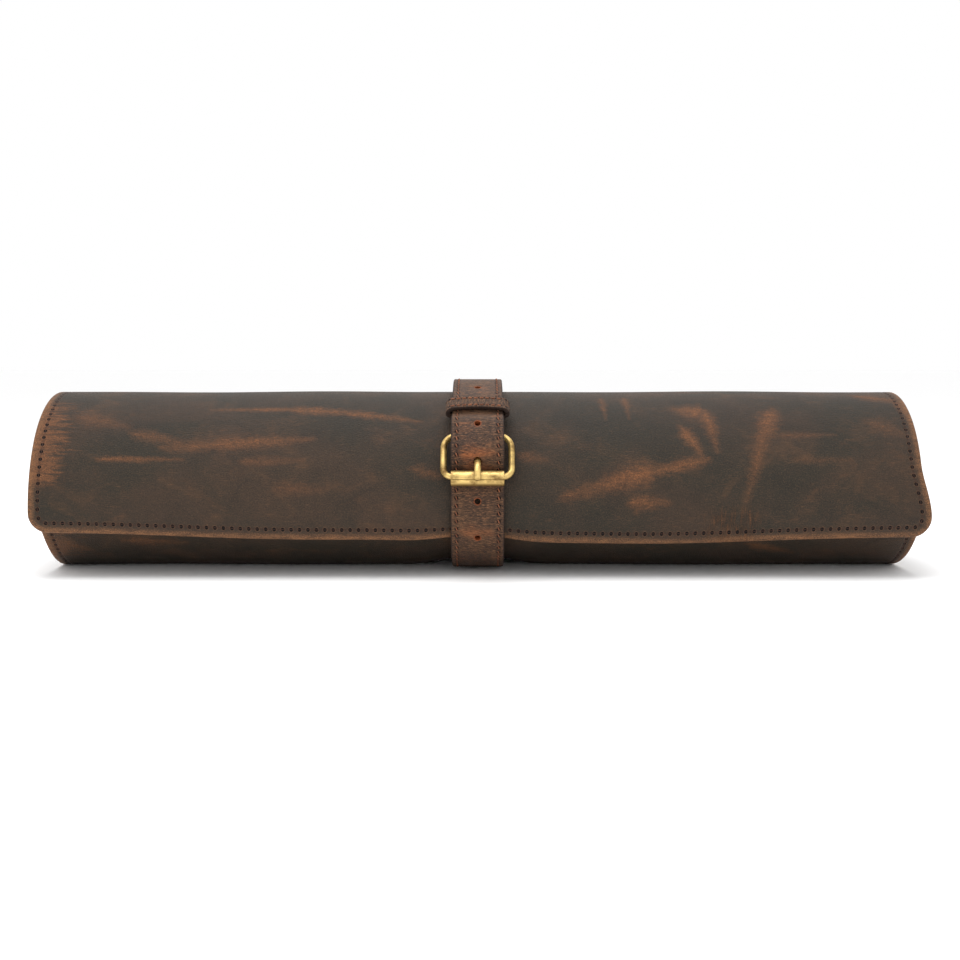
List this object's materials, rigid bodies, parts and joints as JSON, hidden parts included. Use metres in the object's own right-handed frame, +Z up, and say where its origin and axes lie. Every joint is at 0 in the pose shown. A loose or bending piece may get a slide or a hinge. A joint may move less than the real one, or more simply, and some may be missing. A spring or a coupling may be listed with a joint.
{
  "type": "chef knife roll",
  "caption": "Leather knife roll, rolled up and closed by a strap with a roller buckle and keeper, with suede lining, pockets and a zip inside the open core.",
  "frame": {"origin": "middle of the bounding box's base, on the surface that the roll lies on", "axes": "+X along the roll, to the right seen from the buckle; -Y is the front with the buckle; +Z up"},
  "size_m": [0.4498, 0.1352, 0.0989],
  "materials": {
    "leather": "oiled and scuffed, satin",
    "strap_leather": "oiled, satin",
    "suede": "brushed suede, matte",
    "brass": "antique, worn satin",
    "zip_tape": "woven, matte",
    "zip_chain": "coil teeth, semi-matte"
  },
  "bodies": {
    "root": {"shell": "leather", "lining": "suede", "knife_pockets": "suede", "handle_flap": "suede", "hem_strip": "leather", "divider_strip": "leather", "zip_tape": "zip_tape", "zip_chain": "zip_chain", "zip_slider": "brass", "zip_pull_ring": "brass", "zip_pull_tab": "strap_leather", "buckle_strap": "strap_leather", "tip_strap": "strap_leather", "keeper": "strap_leather", "buckle_frame": "brass", "buckle_roller": "brass", "buckle_prong": "brass"}
  },
  "joints": []
}
